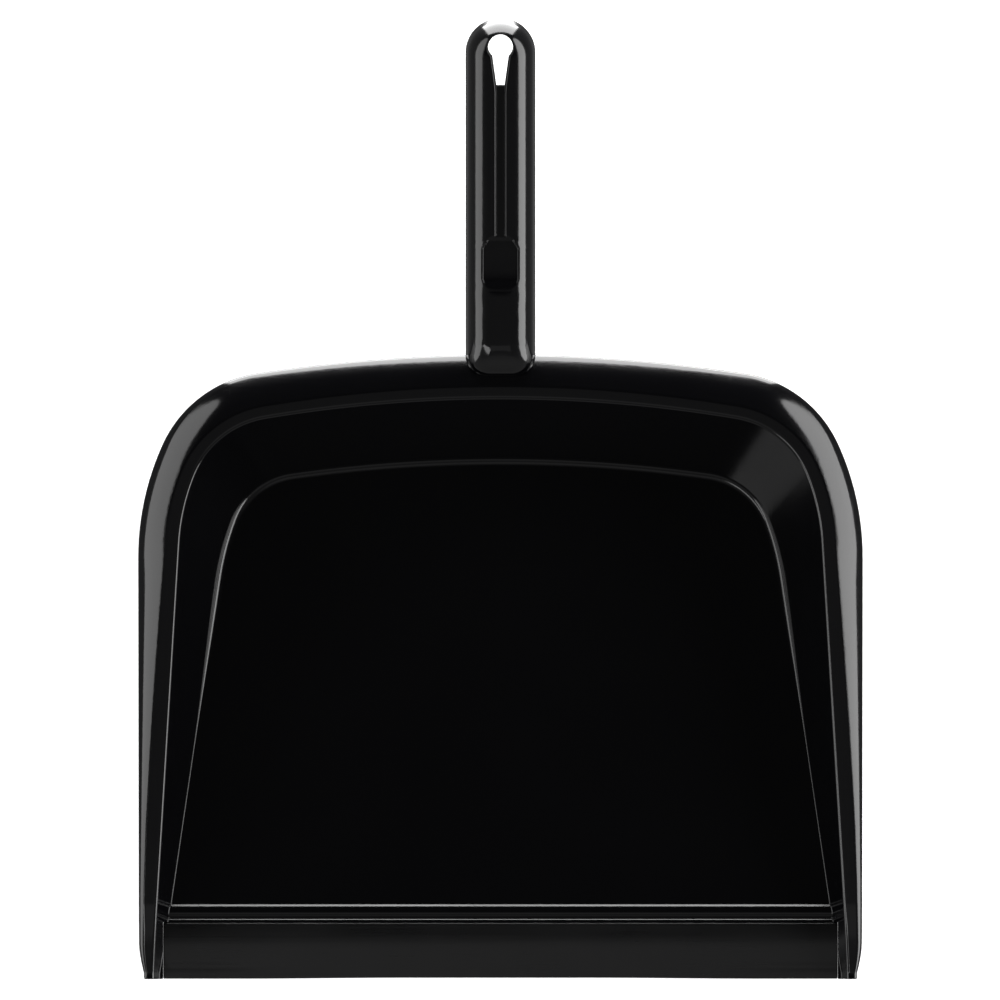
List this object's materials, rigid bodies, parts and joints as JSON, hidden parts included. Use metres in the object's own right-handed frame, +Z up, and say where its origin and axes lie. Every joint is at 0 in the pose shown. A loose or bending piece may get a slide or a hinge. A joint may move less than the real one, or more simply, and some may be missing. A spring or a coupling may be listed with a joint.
{
  "type": "dust pan",
  "caption": "Black moulded dust pan with a turned-down rim rising to the back, a soft sloping lip and a hollow handle with a hanging keyhole.",
  "frame": {"origin": "centre of the bounding box seen from above, on the ground that the pan lies on", "axes": "+Y from the lip towards the handle, +Z up, +X to the right seen from above with the handle away"},
  "size_m": [0.3048, 0.404, 0.093],
  "materials": {
    "moulded_black": "polished black polypropylene",
    "soft_black": "satin black soft rubber"
  },
  "bodies": {
    "root": {"pan_body": "moulded_black", "handle": "moulded_black", "front_lip": "soft_black"}
  },
  "joints": []
}
